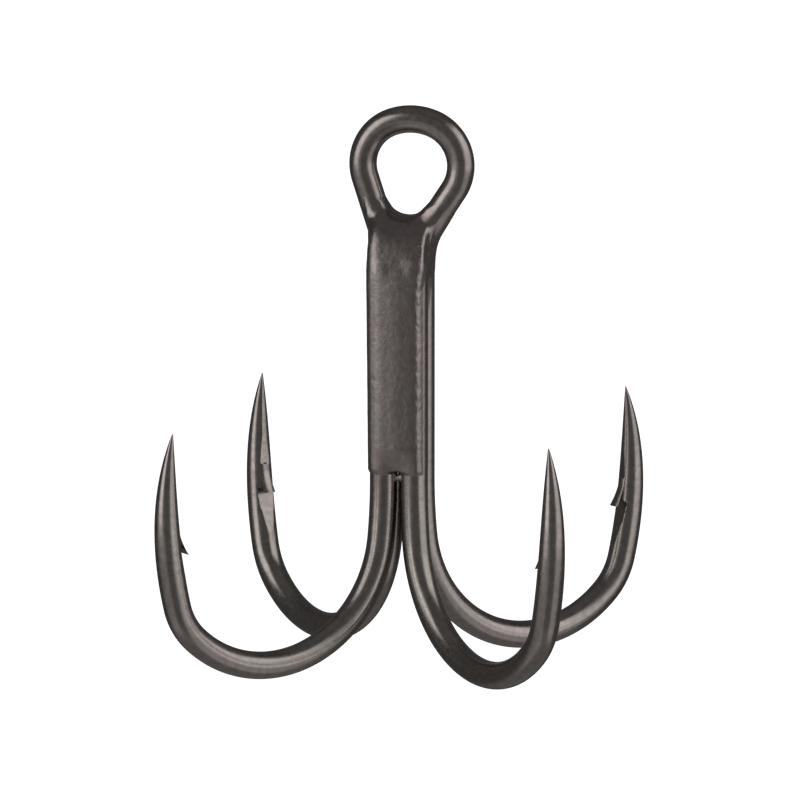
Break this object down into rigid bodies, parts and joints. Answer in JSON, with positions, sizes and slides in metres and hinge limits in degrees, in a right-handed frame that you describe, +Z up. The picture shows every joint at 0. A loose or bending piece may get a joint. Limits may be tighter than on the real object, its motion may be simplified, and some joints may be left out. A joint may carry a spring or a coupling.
{
  "type": "four-point fishing hook",
  "caption": "Fishing hook with barbed points at right angles round one shank: a double hook bent from one wire with a loop eye, brazed to two single hooks. Dark plated round wire.",
  "frame": {"origin": "on the shank's axis, in the plane that the four bends stand on", "axes": "+Z up the shank to the eye; +X and +Y along the double hook's two bends; -X and -Y along the single hooks"},
  "size_m": [0.0312, 0.0312, 0.0305],
  "materials": {
    "plated_wire": "dark black-nickel plating on round steel wire, glossy",
    "plated_braze": "braze under the same dark plating, finely grained, satin"
  },
  "bodies": {
    "root": {"double_hook": "plated_wire", "left_single_hook": "plated_wire", "right_single_hook": "plated_wire", "braze_core": "plated_braze", "front_braze": "plated_braze", "left_braze": "plated_braze", "right_braze": "plated_braze", "back_braze": "plated_braze", "eye_braze": "plated_braze"}
  },
  "joints": []
}
